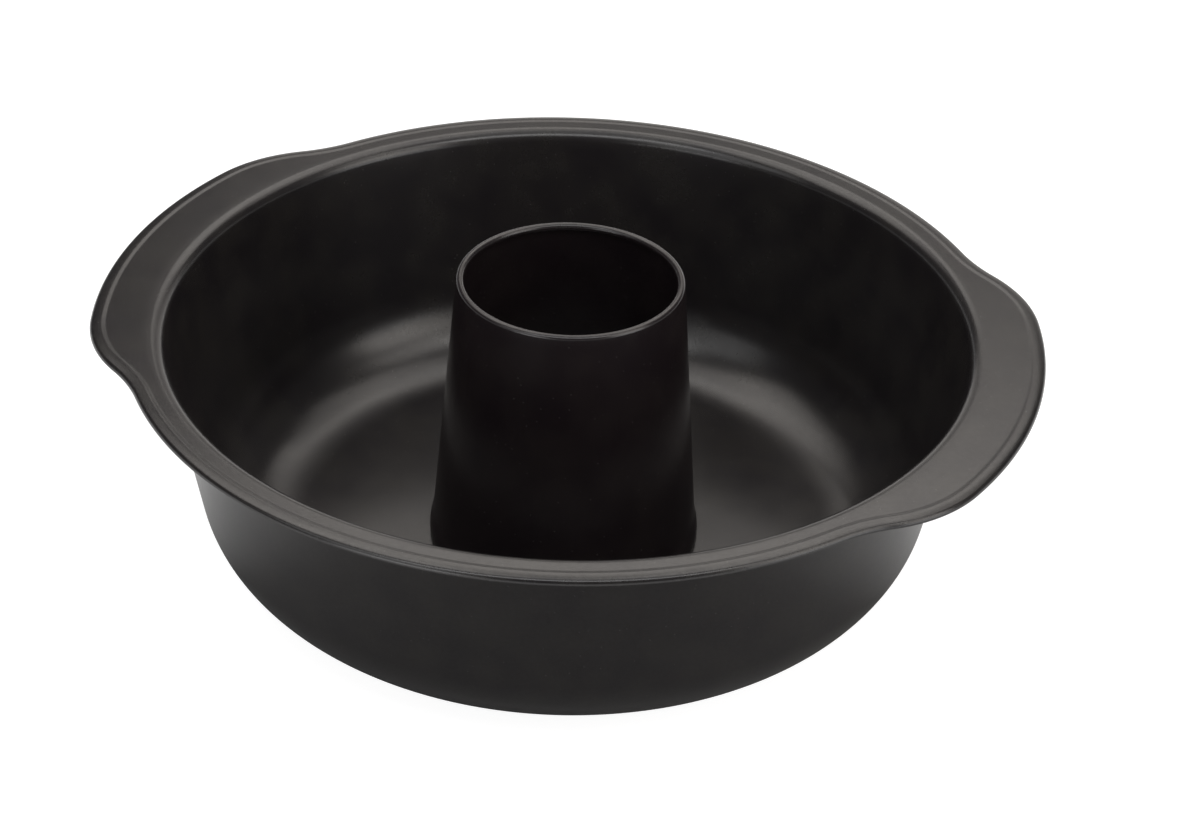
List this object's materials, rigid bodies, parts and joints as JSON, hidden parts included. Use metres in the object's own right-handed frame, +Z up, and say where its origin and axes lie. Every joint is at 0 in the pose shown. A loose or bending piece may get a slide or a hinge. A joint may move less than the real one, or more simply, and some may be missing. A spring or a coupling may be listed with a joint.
{
  "type": "angel food cake pan",
  "caption": "Round deep cake pan with a tapered open tube in the middle, a rolled rim and wing handles on opposite sides.",
  "frame": {"origin": "centre of the floor's underside, on the surface that the pan stands on", "axes": "+Z up along the tube, X through the middle of both handles"},
  "size_m": [0.284, 0.264, 0.091],
  "materials": {
    "shell_coating": "satin",
    "tube_coating": "satin"
  },
  "bodies": {
    "root": {"pan_shell": "shell_coating", "centre_tube": "tube_coating"}
  },
  "joints": []
}
